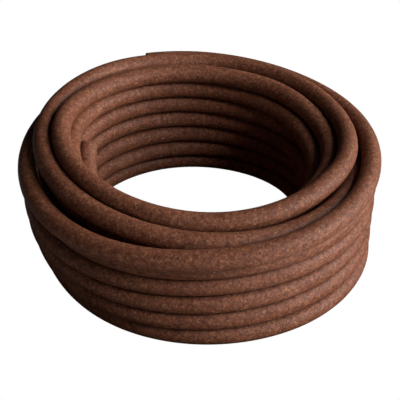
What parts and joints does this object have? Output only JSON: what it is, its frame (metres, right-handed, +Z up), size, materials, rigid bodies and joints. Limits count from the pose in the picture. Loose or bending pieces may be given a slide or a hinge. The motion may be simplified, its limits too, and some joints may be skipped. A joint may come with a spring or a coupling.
{
  "type": "soaker hose",
  "caption": "Coiled porous rubber soaker hose with bare, square-cut ends; it seeps water along its whole length and stands on the flat underside of its coil.",
  "frame": {"origin": "on the surface the coil stands on, under the middle of the coil's overall width and depth", "axes": "+Z up along the coil's axis, +Y towards the side where the outer cut end lies, +X to the right seen from the front"},
  "size_m": [0.2912, 0.301, 0.1162],
  "materials": {
    "porous_rubber": "matt sintered rubber crumb, reddish brown, with fine lighter and darker grains"
  },
  "bodies": {
    "root": {"loose_outer_turn": "porous_rubber", "outer_back_turn": "porous_rubber", "outer_winding": "porous_rubber", "middle_winding": "porous_rubber", "inner_winding": "porous_rubber", "upper_outer_turn": "porous_rubber", "upper_inner_turns": "porous_rubber", "inner_back_turn": "porous_rubber", "inner_floor_bend": "porous_rubber", "inner_tail": "porous_rubber"}
  },
  "joints": []
}
